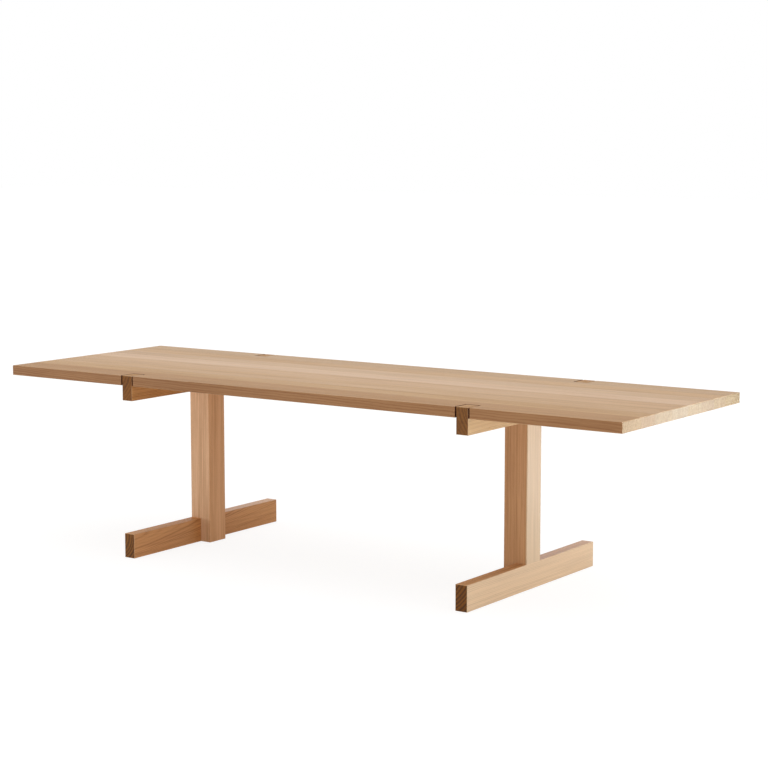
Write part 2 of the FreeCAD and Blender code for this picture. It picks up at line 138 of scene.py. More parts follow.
# From the bottom of the socket, round the rim of the head, to where the thread begins.
HEAD_RINGS = (
    Ring({}, {"Socket Depth": 1.0, "Bevel": 1.5}),
    Ring({"Socket Width": 0.5}, {"Socket Depth": 1.0}, 1.0),
    Ring({"Socket Width": 0.5}, {"Bevel": 1.0}, 1.0),
    Ring({"Socket Width": 0.62}, {}),
    Ring({"Head Diameter": 0.5, "Bevel": -1.5}, {}),
    Ring({"Head Diameter": 0.5, "Bevel": -0.4}, {"Bevel": 0.4}),
    Ring({"Head Diameter": 0.5}, {"Bevel": 1.2}, 0.0, 1.0),
    Ring({"Head Diameter": 0.5}, {"Rim Height": 1.0}, 0.0, 1.0),
    Ring({"Seat Diameter": 0.5}, {"Head Height": 1.0}),
    Ring({"Neck Diameter": 0.5}, {"Head Height": 1.0, "Bevel": 1.0}),
    Ring({"Neck Diameter": 0.5}, {"Thread Start": 1.0, "Pitch": -0.6}),
)
FLAT_TIP_RINGS = (
    Ring({"Root Diameter": 0.5}, {"Length": 1.0, "Bevel": -1.0}),
    Ring({"Root Diameter": 0.42}, {"Length": 1.0}),
    Ring({}, {"Length": 1.0}),
)
POINTED_TIP_RINGS = (
    Ring({"Root Diameter": 0.36}, {"Thread End": 0.55, "Length": 0.45}),
    Ring({"Root Diameter": 0.08}, {"Thread End": 0.06, "Length": 0.94}),
    Ring({}, {"Length": 1.0}),
)
# Down the bore and its hexagonal mouth to the outside, and after the thread back over the far face.
INSERT_RINGS = (
    Ring({"Bore": 0.5}, {"Length": 1.0, "Bevel": -1.0}),
    Ring({"Bore": 0.5}, {"Socket Depth": 1.0}),
    Ring({"Socket Width": 0.5}, {"Socket Depth": 1.0}, 1.0),
    Ring({"Socket Width": 0.5}, {"Bevel": 1.0}, 1.0),
    Ring({"Socket Width": 0.6}, {}),
    Ring({"Root Diameter": 0.5, "Bevel": -1.0}, {}),
    Ring({"Root Diameter": 0.5}, {"Bevel": 1.0}),
)
INSERT_FAR_RINGS = (
    Ring({"Root Diameter": 0.5}, {"Length": 1.0, "Bevel": -1.0}),
    Ring({"Root Diameter": 0.5, "Bevel": -1.0}, {"Length": 1.0}),
    Ring({"Bore": 0.5, "Bevel": 1.0}, {"Length": 1.0}),
    Ring({"Bore": 0.5}, {"Length": 1.0, "Bevel": -1.0}),
)
WASHER_RINGS = (
    Ring({"Bore": 0.5}, {"Bevel": 1.0}),
    Ring({"Bore": 0.5, "Bevel": 1.0}, {}),
    Ring({"Diameter": 0.5, "Bevel": -2.0}, {}),
    Ring({"Diameter": 0.5, "Bevel": -0.6}, {"Bevel": 0.6}),
    Ring({"Diameter": 0.5}, {"Bevel": 2.0}),
    Ring({"Diameter": 0.5}, {"Length": 1.0, "Bevel": -0.5}),
    Ring({"Diameter": 0.5, "Bevel": -0.5}, {"Length": 1.0}),
    Ring({"Bore": 0.5, "Bevel": 1.0}, {"Length": 1.0}),
    Ring({"Bore": 0.5}, {"Length": 1.0, "Bevel": -1.0}),
    Ring({"Bore": 0.5}, {"Bevel": 1.0}),
)
DOWEL_RINGS = (
    Ring({}, {}),
    Ring({"Diameter": 0.5, "Bevel": -1.0}, {}),
    Ring({"Diameter": 0.5, "Bevel": -0.3}, {"Bevel": 0.7}),
    Ring({"Diameter": 0.5}, {"Bevel": 1.6}, 0.0, 1.0),
    Ring({"Diameter": 0.5}, {"Length": 1.0, "Bevel": -1.6}, 0.0, 1.0),
    Ring({"Diameter": 0.5, "Bevel": -0.3}, {"Length": 1.0, "Bevel": -0.7}),
    Ring({"Diameter": 0.5, "Bevel": -1.0}, {"Length": 1.0}),
    Ring({}, {"Length": 1.0}),
)
GLIDE_RINGS = (
    Ring({}, {}),
    Ring({"Diameter": 0.25}, {}),
    Ring({"Diameter": 0.5, "Bevel": -1.2}, {}),
    Ring({"Diameter": 0.5, "Bevel": -0.4}, {"Bevel": 0.3}, 0.0, 0.5),
    Ring({"Diameter": 0.5}, {"Bevel": 1.0}, 0.0, 1.0),
    Ring({"Diameter": 0.5}, {"Length": 0.7}, 0.0, 1.0),
    Ring({"Diameter": 0.5, "Bevel": -0.5}, {"Length": 1.0}, 0.0, 0.5),
    Ring({}, {"Length": 1.0}),
)
# Corners round a fitting, rings to one turn of a thread, and the angle past which an edge stays sharp.
COLUMNS = 48
THREAD_STEPS = 6
SHARP_EDGE = math.radians(32)
# Points closer than this are one point, in a turned fitting and in a CAD mesh.
MERGE_REACH = 2e-6
WELD_REACH = 1e-6


def colour_setting(name, description, default):
    """A colour that a user of the table may change."""
    return FloatVectorProperty(
        name=name, description=description, subtype="COLOR", min=0.0, max=1.0, default=default
    )


def length_setting(name, description, default, least=0.0):
    """A length that a user of the table may change."""
    return FloatProperty(name=name, description=description, unit="LENGTH", min=least, default=default)


def power_setting(name, description, default):
    """A lamp's power that a user of the table may change."""
    return FloatProperty(name=name, description=description, unit="POWER", min=0.0, default=default)


class OakFinish(bpy.types.PropertyGroup):
    """Colours and grain of the oiled oak, with the painted shade and sheen on some of its sides"""

    pale: colour_setting("Pale wood", "Colour of the wood between the growth rings", (0.575, 0.318, 0.158))
    dark: colour_setting(
        "Dark wood", "Colour of the open-pored wood where a ring begins", (0.345, 0.160, 0.062)
    )
    # Painted sheen: the pale colour on the right post's and foot's outer sides stands in for the sheen and
    # strong light from the right.
    painted_sheen: colour_setting(
        "Sapwood", "Colour of the young wood on the right post's and foot's outer sides", (0.65, 0.54, 0.37)
    )
    # Painted shade: the amber colour on the left post's inner side stands in for the shade and warm bounced
    # light under the table.
    left_post_inner_shade: colour_setting("Amber wood", "Colour of the left post's inner side", (0.53, 0.20, 0.03))
    # Painted shade: the dark colour on the left foot's inner side stands in for the shade on that side.
    left_foot_inner_shade: colour_setting(
        "Heartwood", "Colour of the old wood on the left foot's inner side", (0.30, 0.11, 0.045)
    )
    plain: colour_setting(
        "Plain wood", "Colour of the right bearer's outer side, where the grain is faint", (0.48, 0.285, 0.12)
    )
    # Painted shade: the near-black colour of the walls in the gaps round the tongues stands in for the shade
    # deep in the gaps.
    gap: colour_setting(
        "Gap walls", "Colour of the raw walls in the gaps round the tongues", (0.080, 0.014, 0.001)
    )
    # Painted shade: the dark colour on the top's long edges stands in for their taking less light than the
    # top.
    edge: colour_setting(
        "Handled edge", "Colour that hands and oil give to the top's long edges", (0.135, 0.028, 0.0)
    )
    ring: length_setting("Ring width", "Wood that the tree grew in a year", 0.0036, 0.0005)
    sweep: length_setting("Sweep", "How far the grain wanders sideways along a board", 0.016)
    relief: length_setting("Pore depth", "Depth of the open pores in the oiled surface", 0.00012)


class Fittings(bpy.types.PropertyGroup):
    """Colours and sizes of the bolts, screws, dowels and glides"""

    zinc: colour_setting("Zinc", "Colour of the plated bolts, screws and washers", (0.62, 0.63, 0.64))
    brass: colour_setting("Brass", "Colour of the threaded inserts", (0.74, 0.56, 0.27))
    powder: colour_setting("Powder coat", "Colour of the fixing plates", (0.03, 0.03, 0.032))
    beech: colour_setting("Beech", "Colour of the dowels", (0.60, 0.43, 0.28))
    felt: colour_setting("Felt", "Colour of the floor glides", (0.20, 0.17, 0.14))
    bolt_socket: length_setting(
        "Bolt socket", "Width of the hexagonal socket in the top bolts", 0.006, 0.002
    )
    bolt_pitch: length_setting("Bolt pitch", "Pitch of the thread on the top bolts", 0.00125, 0.0005)
    plate_socket: length_setting(
        "Plate bolt socket", "Width of the hexagonal socket in the plate bolts", 0.005, 0.002
    )
    plate_pitch: length_setting("Plate bolt pitch", "Pitch of the thread on the plate bolts", 0.001, 0.0005)
    screw_pitch: length_setting("Screw pitch", "Pitch of the thread on the plate screws", 0.0028, 0.0005)


class Studio(bpy.types.PropertyGroup):
    """Lamps, floor and camera"""

    ceiling: FloatProperty(name="Ceiling", description="Soft light from above", min=0.0, default=1.12)
    low_left: power_setting("Low left", "Power of the long low lamp at the front, on the left", 28.0)
    low_front: power_setting("Low front", "Power of the long low lamp in front of the table", 29.0)
    low_right: power_setting("Low right", "Power of the long low lamp on the right", 34.0)
    sheen_board: power_setting("Sheen board", "Power of the low board that the right faces mirror", 1.8)
    end_light: power_setting("End light", "Power of the narrow light on the right end of the top", 1.0)
    ambient: FloatProperty(
        name="Ambient", description="Light that comes from all round the studio", min=0.0, default=0.56
    )
    lens: FloatProperty(
        name="Lens", description="Focal length of the camera", unit="CAMERA", default=92.2137
    )


class TableSettings(bpy.types.PropertyGroup):
    """All that a user of the table would change"""

    oak: PointerProperty(type=OakFinish)
    fittings: PointerProperty(type=Fittings)
    studio: PointerProperty(type=Studio)


def settings():
    """The table's settings in this scene."""
    return bpy.context.scene.trestle_table


class Value:
    """What a socket gives, for plain arithmetic with numbers, with tuples as vectors and with its like."""

    def __init__(self, socket):
        self.socket = socket
        self.tree = socket.id_data
        self.is_vector = socket.type in ("VECTOR", "RGBA")

    def __add__(self, other):
        return calc("ADD", self, other)

    def __sub__(self, other):
        return calc("SUBTRACT", self, other)

    def __mul__(self, other):
        return calc("MULTIPLY", self, other)

    def __truediv__(self, other):
        return calc("DIVIDE", self, other)

    def __rtruediv__(self, other):
        return calc("DIVIDE", other, self)

    def __gt__(self, other):
        return calc("GREATER_THAN", self, other)

    def __lt__(self, other):
        return calc("LESS_THAN", self, other)

    __radd__ = __add__
    __rmul__ = __mul__


def add_node(tree, kind, feeds=None, **choices):
    """A new node of this kind, with its choices and with what feeds its sockets."""
    node = tree.nodes.new(kind)
    for name, value in choices.items():
        setattr(node, name, value)
    for key, value in (feeds or {}).items():
        feed(node.inputs[key], value)
    return node


def make(tree, kind, feeds=None, output=0, **choices):
    """What a new node of this kind gives at one of its outputs."""
    return Value(add_node(tree, kind, feeds, **choices).outputs[output])


def feed(socket, value):
    """Gives a socket a plain value, or a link from what another socket gives."""
    if isinstance(value, Value):
        value.tree.links.new(value.socket, socket)
    else:
        socket.default_value = value


def tree_of(*values):
    """The node tree that these belong to. Plain numbers among them belong to none."""
    return next(value.tree for value in values if isinstance(value, Value))


def calc(operation, *values):
    """A number worked out from others, or a vector if one of them is a vector."""
    kind = "ShaderNodeMath"
    if any(isinstance(value, tuple) or getattr(value, "is_vector", False) for value in values):
        kind = "ShaderNodeVectorMath"
        values = [(value,) * 3 if isinstance(value, float) else value for value in values]
    output = "Value" if operation in ("LENGTH", "DOT_PRODUCT") else 0
    return make(tree_of(*values), kind, dict(enumerate(values)), output, operation=operation)


def axes(vector):
    """The three numbers of a vector."""
    return [Value(socket) for socket in add_node(vector.tree, "ShaderNodeSeparateXYZ", {0: vector}).outputs]


def join_axes(*numbers):
    """A vector of three numbers."""
    return make(tree_of(*numbers), "ShaderNodeCombineXYZ", dict(enumerate(numbers)))


def rescale(value, low, high, new_low=0.0, new_high=1.0):
    """A value moved smoothly from one range to another, and held at its ends."""
    feeds = dict(enumerate((value, low, high, new_low, new_high)))
    return make(value.tree, "ShaderNodeMapRange", feeds, interpolation_type="SMOOTHSTEP")


def mix_colours(factor, first, second, blend_type="MIX"):
    """Two colours mixed by a factor."""
    feeds = {0: factor, 6: first, 7: second}
    tree = tree_of(factor, first, second)
    return make(tree, "ShaderNodeMix", feeds, 2, data_type="RGBA", blend_type=blend_type)


def stained(colour, stain):
    """One colour stained with another."""
    return mix_colours(1.0, colour, stain, "MULTIPLY")


def cloud(place, waves, detail=2.0, roughness=0.5):
    """Soft noise around one half, with its own number of waves to the metre along each axis: a number, and
    a colour of three such numbers."""
    feeds = {"Vector": place * waves, "Scale": 1.0, "Detail": detail, "Roughness": roughness}
    noise = add_node(place.tree, "ShaderNodeTexNoise", feeds, noise_dimensions="3D").outputs
    return Value(noise[0]), Value(noise[1])


def relief(height, depth, strength):
    """The normal of a surface with this relief."""
    feeds = {"Strength": strength, "Distance": depth, "Height": height}
    return make(height.tree, "ShaderNodeBump", feeds)


def new_group(name, inputs, outputs, tree_type="ShaderNodeTree"):
    """An empty group with these sockets, listed by kind, what its inputs give, and its outputs' sockets."""
    tree = bpy.data.node_groups.new(name, tree_type)
    for in_out, sockets in (("INPUT", inputs), ("OUTPUT", outputs)):
        for kind, labels in sockets.items():
            for label in labels:
                tree.interface.new_socket(name=label, in_out=in_out, socket_type=f"NodeSocket{kind}")
    given = {socket.name: Value(socket) for socket in tree.nodes.new("NodeGroupInput").outputs}
    return tree, given, tree.nodes.new("NodeGroupOutput").inputs


def wander_from_line(spot, sweep):
    """How far the grain wanders from a straight line: slowly along the length, with a finer ripple on it."""
    ripple_share = 0.22
    slow = cloud(spot, SWEEP_WAVES, detail=1.0)[1] - 0.5
    ripple = cloud(spot, RIPPLE_WAVES)[1] - 0.5
    return (ripple * ripple_share + slow) * sweep


def growth_rings(radius, apart, seed, width):
    """Rings of uneven width: their count, the open-pored wood at the start of each, and the denser end."""
    uneven_waves, uneven_rings = (24.0, 0.0, 0.0), 6.0
    uneven = cloud(radius + apart, uneven_waves, detail=1.0)[0]
    years = uneven * uneven_rings + radius / width
    season = calc("FRACT", years)
    year = seed * SEED_YEARS + calc("FLOOR", years)
    vigour = make(seed.tree, "ShaderNodeTexWhiteNoise", {"W": year}, "Value", noise_dimensions="1D")
    early = rescale(season, 0.0, 0.55, 1.0, 0.0) * (vigour * 1.1 + 0.35)
    late = rescale(season, 0.78, 1.0)
    return years, early, late


def ray_flecks(outward, along, apart):
    """Rays across the rings: flecks on a quarter-sawn face, dashes on a flat-sawn one, lines on an end."""
    waves_round, waves_along = (0.0, 520.0, 520.0), (46.0, 0.0, 0.0)
    place = outward * waves_round + apart + along * waves_along
    return rescale(cloud(place, (1.0, 1.0, 1.0), detail=0.0)[0], 0.66, 0.74)


def rind_share(given, coordinates, broad):
    """How much of a layer of another colour shows along one side, with an uneven border."""
    reach = calc("DOT_PRODUCT", coordinates - given["Middle"], given["Rind Side"])
    depth = reach - given["Rind Start"] + (broad - 0.5) * 0.8
    return rescale(depth, 0.2, 0.5) * given["Rind Share"]


def end_grain(wood, given, years, early, streak):
    """The wood on a cut end, which drinks more oil and shows bands of a few rings each."""
    band_rings = 3.6
    end_wood = stained(wood, given["End Stain"])
    bands = calc("SINE", years * (math.tau / band_rings)) + early * 0.4 + streak * 2.0
    bands = rescale(bands, -0.2, 2.4, 1.45, 0.55)
    return mix_colours(given["Ring Marks"], end_wood, stained(end_wood, bands))


def near_tongue(coordinates, low, high):
    """One in the box round a notch or a tongue in each quarter of the table, and zero elsewhere."""
    mirrored = calc("ABSOLUTE", coordinates)
    inside = axes(calc("MINIMUM", mirrored - low, high - mirrored))
    return calc("MINIMUM", calc("MINIMUM", inside[0], inside[1]), inside[2]) > 0.0


def oak_roughness(given, along, upward, end, pore, broad, gap):
    """Ends and undersides are left rougher than the faces that are rubbed with oil, the tops of the feet are
    rubbed by shoes, and the walls of the gaps, where shade is painted, are fully rough."""
    rough = pore * 0.12 + given["Roughness"] + broad * 0.12
    rough = end * (given["End Roughness"] - rough) + rough
    rub = (along > 0.0) * (given["Back Rub"] - given["Front Rub"]) + given["Front Rub"]
    rough = rescale(upward, 0.6, 0.9) * rub + rough
    rough = calc("MAXIMUM", rough, rescale(upward, -0.9, -0.6, UNDERSIDE_ROUGH, 0.0))
    return calc("MAXIMUM", rough, gap)


def oak_group(finish):
    """The oak of every board and beam: growth rings round a heart, pores, rays and fibres in solid wood, so
    that faces, edges and ends of one length agree."""
    inputs = {
        "Vector": ("Middle", "Turn", "Axis", "Heart", "Lean", "Gap Low", "Gap High", "Rind Side"),
        "Float": ("Seed", "Ring Marks", "Roughness", "End Roughness", "Front Rub", "Back Rub", "Rind Share",
                  "Rind Start"),
        "Color": ("Stain", "End Stain", "Flush Stain", "Rind"),
    }
    outputs = {"Color": ("Color",), "Float": ("Roughness",), "Vector": ("Normal",)}
    tree, given, result = new_group("oiled_oak", inputs, outputs)
    coordinates = make(tree, "ShaderNodeTexCoord", output="Object")
    feeds = {"Vector": coordinates, "Location": given["Middle"], "Rotation": given["Turn"]}
    place = make(tree, "ShaderNodeMapping", feeds, vector_type="TEXTURE")
    along = axes(place)[0]
    apart = given["Seed"] * SEED_APART
    spot = place + apart
    surface = make(tree, "ShaderNodeNewGeometry", output="Normal")
    upward = axes(surface)[2]
    facing = calc("ABSOLUTE", surface)
    square = axes(facing)
    end = rescale(calc("DOT_PRODUCT", facing, given["Axis"]), 0.6, 0.9)

    wander = wander_from_line(spot, finish.sweep)
    heart = given["Lean"] * along + given["Heart"]
    across_grain = (0.0, 1.0, 1.0)
    from_heart = (place + wander - heart) * across_grain
    radius = calc("LENGTH", from_heart)
    outward = calc("NORMALIZE", from_heart)
    years, early, late = growth_rings(radius, apart, given["Seed"], finish.ring)

    # Streaks of tone that keep to the rings, broad clouds, and strands, fibres and pores along the grain.
    streak = cloud(join_axes(along, radius, given["Seed"]), STREAK_WAVES, detail=3.0, roughness=0.6)[0]
    broad = cloud(spot, BROAD_WAVES)[0]
    straight = spot + wander
    strand = cloud(straight, STRAND_WAVES, roughness=0.6)[0]
    fibre = cloud(straight, FIBRE_WAVES, roughness=0.6)[0]
    pore = rescale(cloud(straight, PORE_WAVES, detail=1.0)[0], 0.56, 0.66) * early
    ray = ray_flecks(outward, along, apart)

    # How much each of them darkens the wood.
    shade = early * 0.62 + late * 0.16 + streak * 0.95 + broad * 0.5
    shade = shade + strand * 1.75 + fibre * 0.5 + pore * 0.45 - ray * 0.14 - PALEST
    shade = make(tree, "ShaderNodeClamp", {0: shade})
    wood = mix_colours(shade, (*finish.pale, 1.0), (*finish.dark, 1.0))
    wood = stained(wood, given["Stain"])
    # A layer of other colour on one side: painted shade or painted sheen on all but the right bearer.
    rind = stained(given["Rind"], shade * -0.13 + 1.045)
    wood = mix_colours(rind_share(given, coordinates, broad), wood, rind)
    wood = mix_colours(end, wood, end_grain(wood, given, years, early, streak))

    # Painted highlight: the eased arrises are made paler, as if light caught them.
    squarest = calc("MAXIMUM", calc("MAXIMUM", square[0], square[1]), square[2])
    wood = mix_colours(rescale(squarest, 0.80, 0.97, ARRIS_HIGHLIGHT_SHARE, 0.0), wood, ARRIS_HIGHLIGHT)

    # Painted shade: the upright walls in the narrow gaps round the tongues are made near black, standing in
    # for the shade deep in the gaps.
    inside = near_tongue(coordinates, given["Gap Low"], given["Gap High"])
    gap = inside * (square[2] < 0.5)
    wood = mix_colours(gap, wood, (*finish.gap, 1.0))
    flush = inside * (square[2] > 0.5)
    wood = mix_colours(flush, wood, stained(wood, given["Flush Stain"]))

    height = fibre * 0.5 - pore - early * 0.3
    feed(result["Color"], wood)
    feed(result["Roughness"], oak_roughness(given, along, upward, end, pore, broad, gap))
    feed(result["Normal"], relief(height, finish.relief, strength=0.5))
    return tree


def empty_tree(owner):
    """The node tree of a new material or world, with nothing in it."""
    owner.use_nodes = True
    owner.node_tree.nodes.clear()
    return owner.node_tree


def bare_material(name):
    """A new material with no nodes but its output and its shader, and that shader."""
    material = bpy.data.materials.new(name)
    tree = empty_tree(material)
    shader = add_node(tree, "ShaderNodeBsdfPrincipled")
    add_node(tree, "ShaderNodeOutputMaterial", {"Surface": Value(shader.outputs[0])})
    return material, shader


def place_on(shader):
    """The place on the piece that patterns of this shader are laid out by."""
    return make(shader.id_data, "ShaderNodeTexCoord", output="Object")


def coat(shader, colour, rough, normal):
    """Gives a shader the colour, the roughness and the normal of a surface."""
    feed(shader.inputs["Base Color"], colour)
    feed(shader.inputs["Roughness"], rough)
    feed(shader.inputs["Normal"], normal)


def oak_material(node, timber, lie, gap, end_rough, ring_marks, rind=None, flush_stain=NO_STAIN, rub=NO_RUB):
    """The oak of one length of timber, centred on its node and turned along its grain. Its rind, if it has
    one, is a side of the piece, a colour, a depth and how much of the colour it takes. On the top's long
    edges and on the trestles' sides the rind is painted shade or painted sheen, but on the right bearer plain
    wood."""
    low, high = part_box(node)
    turn, axis = lie
    side, colour, depth, share = rind or (Vector(), settings().oak.painted_sheen, SIDE_DEPTH, 0.0)
    half = abs(side.dot(high - low)) / 2
    feeds = {
        "Middle": (low + high) / 2,
        "Turn": turn,
        "Axis": axis,
        "Heart": (0.0, *timber.heart),
        "Lean": (0.0, *timber.lean),
        "Seed": timber.seed,
        "Stain": (*timber.stain, 1.0),
        "End Stain": (*timber.end_stain, 1.0),
        "Ring Marks": ring_marks,
        "Flush Stain": (*flush_stain, 1.0),
        "Roughness": timber.rough,
        "End Roughness": end_rough,
        "Front Rub": rub[0],
        "Back Rub": rub[1],
        "Gap Low": gap[0],
        "Gap High": gap[1],
        "Rind": (*colour, 1.0),
        "Rind Share": share,
        "Rind Side": side / depth,
        "Rind Start": half / depth - 1.0 if rind else 1.0,
    }
    material, shader = bare_material(f"oak_{node}")
    oak = add_node(shader.id_data, "ShaderNodeGroup", feeds, node_tree=shared_oak()).outputs
    coat(shader, Value(oak["Color"]), Value(oak["Roughness"]), Value(oak["Normal"]))
    shader.inputs["Specular IOR Level"].default_value = OIL_SPECULAR
    return material


def finish_node(node, material):
    """A CAD piece keeps its shape and takes this material."""
    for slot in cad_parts[node].material_slots:
        slot.material = material


def shared_oak():
    """The oak group, made once."""
    return bpy.data.node_groups.get("oiled_oak") or oak_group(settings().oak)


def shared_zinc():
    """The zinc plating of all bolts, screws and washers, made once."""
    name = "zinc_plating"
    tarnish, rough = (0.50, 0.49, 0.44), 0.30
    return bpy.data.materials.get(name) or metal_material(name, settings().fittings.zinc, tarnish, rough)


def shared_tree(name, sizes, rings, far_rings=()):
    """The lathe tree of one kind of fitting, made once."""
    return bpy.data.node_groups.get(name) or lathe_tree(name, sizes, rings, far_rings)


class TABLE_OT_finish_top(bpy.types.Operator):
    """Gives each board of the top its own length of oak"""

    bl_idname = "table.finish_top"
    bl_label = "Finish Top Boards"

    edge_shade_share = 0.45

    def execute(self, context):
        edge = settings().oak.edge
        # Painted shade darkens the front and back boards' long edges.
        rinds = {
            FRONT_BOARD: (Vector((0.0, -1.0, 0.0)), edge, EDGE_SHADE_DEPTH, self.edge_shade_share),
            BACK_BOARD: (Vector((0.0, 1.0, 0.0)), edge, EDGE_SHADE_DEPTH, self.edge_shade_share),
        }
        for node, timber in BOARD_TIMBER.items():
            rind = rinds.get(node)
            oak = oak_material(
                node, timber, ALONG_TABLE, NOTCH_WALLS, BOARD_END_ROUGH, BOARD_RING_MARKS, rind
            )
            finish_node(node, oak)
        return {"FINISHED"}


class TABLE_OT_finish_trestles(bpy.types.Operator):
    """Gives each bearer, post and foot its own length of oak"""

    bl_idname = "table.finish_trestles"
    bl_label = "Finish Trestles"

    def execute(self, context):
        finish = settings().oak
        to_right = Vector((1.0, 0.0, 0.0))
        # Painted shade on the left post's and foot's inner sides, painted sheen on the right post's and
        # foot's outer sides, and plain wood on the right bearer's outer side.
        rinds = {
            "left_post": (to_right, finish.left_post_inner_shade, SIDE_DEPTH, 0.35),
            "left_foot": (to_right, finish.left_foot_inner_shade, SIDE_DEPTH, 0.35),
            "right_bearer": (to_right, finish.plain, SIDE_DEPTH, 0.55),
            "right_post": (to_right, finish.painted_sheen, SIDE_DEPTH, 0.60),
            "right_foot": (to_right, finish.painted_sheen, SIDE_DEPTH, 0.56),
        }
        # How each part lies and how plain its ring bands are.
        parts = {
            "bearer": (ACROSS_TABLE, BEARER_RING_MARKS),
            "post": (UPRIGHT, BEAM_RING_MARKS),
            "foot": (ACROSS_TABLE, BEAM_RING_MARKS),
        }
        for side in SIDES:
            for part, (lie, ring_marks) in parts.items():
                node = f"{side}_{part}"
                rub = FOOT_RUB[side] if part == "foot" else NO_RUB
                oak = oak_material(
                    node, BEAM_TIMBER[node], lie, TONGUE_CHEEKS, BEAM_END_ROUGH, ring_marks, rinds.get(node),
                    TONGUE_STAIN[side], rub
                )
                finish_node(node, oak)
        return {"FINISHED"}


def weigh(given, shares):
    """A length made of shares of the named sizes."""
    return sum(given[label] * share for label, share in shares.items())


def pick(index, values):
    """The value at this place in a row of values, and zero outside the row."""
    node = add_node(index.tree, "GeometryNodeIndexSwitch", data_type="FLOAT")
    while len(node.index_switch_items) < len(values):
        node.index_switch_items.new()
    for place, value in enumerate((index, *values)):
        feed(node.inputs[place], value)
    return Value(node.outputs[0])


def ring_shape(given, row, rings):
    """Radius and height at this row of some rings, zero before the first and after the last."""
    radius = pick(row, [weigh(given, ring.radius) for ring in rings])
    height = pick(row, [weigh(given, ring.height) for ring in rings])
    return radius, height


def thread_shape(given, step, steps, angle):
    """Radius and height on a thread's surface, zero before its first step and after its last."""
    start, end, pitch = given["Thread Start"], given["Thread End"], given["Pitch"]
    root, depth = given["Root Diameter"], given["Thread Diameter"] - given["Root Diameter"]
    height = (end - start) * (step / (steps - 1.0)) + start
    turn = angle * (-1 / math.tau) + height / pitch
    flank = calc("ABSOLUTE", calc("FRACT", turn) * 2.0 - 1.0)
    run_in = rescale(height, start, start + pitch)
    run_out = rescale(height, end - pitch, end, 1.0, 0.0)
    crest = rescale(flank, 0.15, 0.75, 1.0, 0.0) * run_in * run_out
    radius = depth * crest * 0.5 + root * 0.5
    inside = (step > -0.5) * (step < steps - 0.5)
    return radius * inside, height * inside


def hexagon_stretch(angle, share):
    """How far a point at this angle is drawn out to a hexagon round its circle."""
    sixth = math.tau / 6
    wedge = calc("FLOORED_MODULO", angle + sixth / 2, sixth)
    corner = 1.0 / calc("COSINE", wedge - sixth / 2)
    return (corner - 1.0) * share + 1.0


def lathe_tree(name, sizes, rings, far_rings=()):
    """A tree that turns a fitting from its rings, with a thread between the two rows of rings if there are
    two, and sets one on every place that it is given."""
    lengths = (*sizes, "Flute Depth")
    inputs = {"Geometry": ("Places",), "Float": lengths, "Vector": ("Tilt",), "Material": ("Finish",)}
    tree, given, result = new_group(name, inputs, {"Geometry": ("Fittings",)}, "GeometryNodeTree")
    steps = 0
    if far_rings:
        turns = (given["Thread End"] - given["Thread Start"]) / given["Pitch"]
        steps = calc("ROUND", turns * THREAD_STEPS)
    rows = steps + len(rings) + len(far_rings)
    last = rows - 1
    feeds = {"Size X": last, "Size Y": 1.0, "Vertices X": rows, "Vertices Y": COLUMNS + 1}
    net = make(tree, "GeometryNodeMeshGrid", feeds, "Mesh")
    spot = axes(make(tree, "GeometryNodeInputPosition"))
    row = calc("ROUND", last * 0.5 + spot[0])
    angle = spot[1] * -math.tau

    radius, height = ring_shape(given, row, rings)
    if far_rings:
        step = row - len(rings)
        thread_radius, thread_height = thread_shape(given, step, steps, angle)
        far_radius, far_height = ring_shape(given, calc("ROUND", step - steps), far_rings)
        radius = radius + thread_radius + far_radius
        height = height + thread_height + far_height
    stretch = hexagon_stretch(angle, pick(row, [ring.hexagon for ring in rings]))
    groove = (calc("COSINE", angle * (COLUMNS / 4)) * 0.5 + 0.5) * given["Flute Depth"]
    radius = radius * stretch - groove * pick(row, [ring.flute for ring in rings])

    turned = join_axes(radius * calc("COSINE", angle), radius * calc("SINE", angle), height)
    shape = make(tree, "GeometryNodeSetPosition", {"Geometry": net, "Position": turned})
    shape = make(tree, "GeometryNodeMergeByDistance", {"Geometry": shape, "Distance": MERGE_REACH})
    feeds = {"Points": given["Places"], "Instance": shape, "Rotation": given["Tilt"]}
    shape = make(tree, "GeometryNodeInstanceOnPoints", feeds)
    shape = make(tree, "GeometryNodeRealizeInstances", {"Geometry": shape})
    shape = make(tree, "GeometryNodeSetMaterial", {"Geometry": shape, "Material": given["Finish"]})
    feed(result["Fittings"], shape)
    return tree


def solid_boxes(node):
    """The lowest and the highest corner of each separate solid of a CAD piece, in a fixed order."""
    net = bmesh.new()
    net.from_mesh(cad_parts[node].data)
    bmesh.ops.remove_doubles(net, verts=net.verts, dist=WELD_REACH)
    waiting, boxes = set(net.verts), []
    while waiting:
        front = [waiting.pop()]
        solid = list(front)
        while front:
            near = {edge.other_vert(vert) for vert in front for edge in vert.link_edges} & waiting
            waiting -= near
            front = list(near)
            solid += front
        spans = [[vert.co[axis] for vert in solid] for axis in range(3)]
        boxes.append((Vector([min(span) for span in spans]), Vector([max(span) for span in spans])))
    net.free()
    return sorted(boxes, key=lambda box: tuple(box[0]))


def fittings_of(*kinds, axis=2, low_end=True):
    """Each CAD node with these kinds of fitting, the size of one, and the middle of the low or high end of
    each along this axis."""
    for side in SIDES:
        for kind in kinds:
            boxes = solid_boxes(f"{side}_{kind}")
            places = []
            for low, high in boxes:
                place = (low + high) / 2
                place[axis] = low[axis] if low_end else high[axis]
                places.append(place)
            low, high = boxes[0]
            yield f"{side}_{kind}", high - low, places


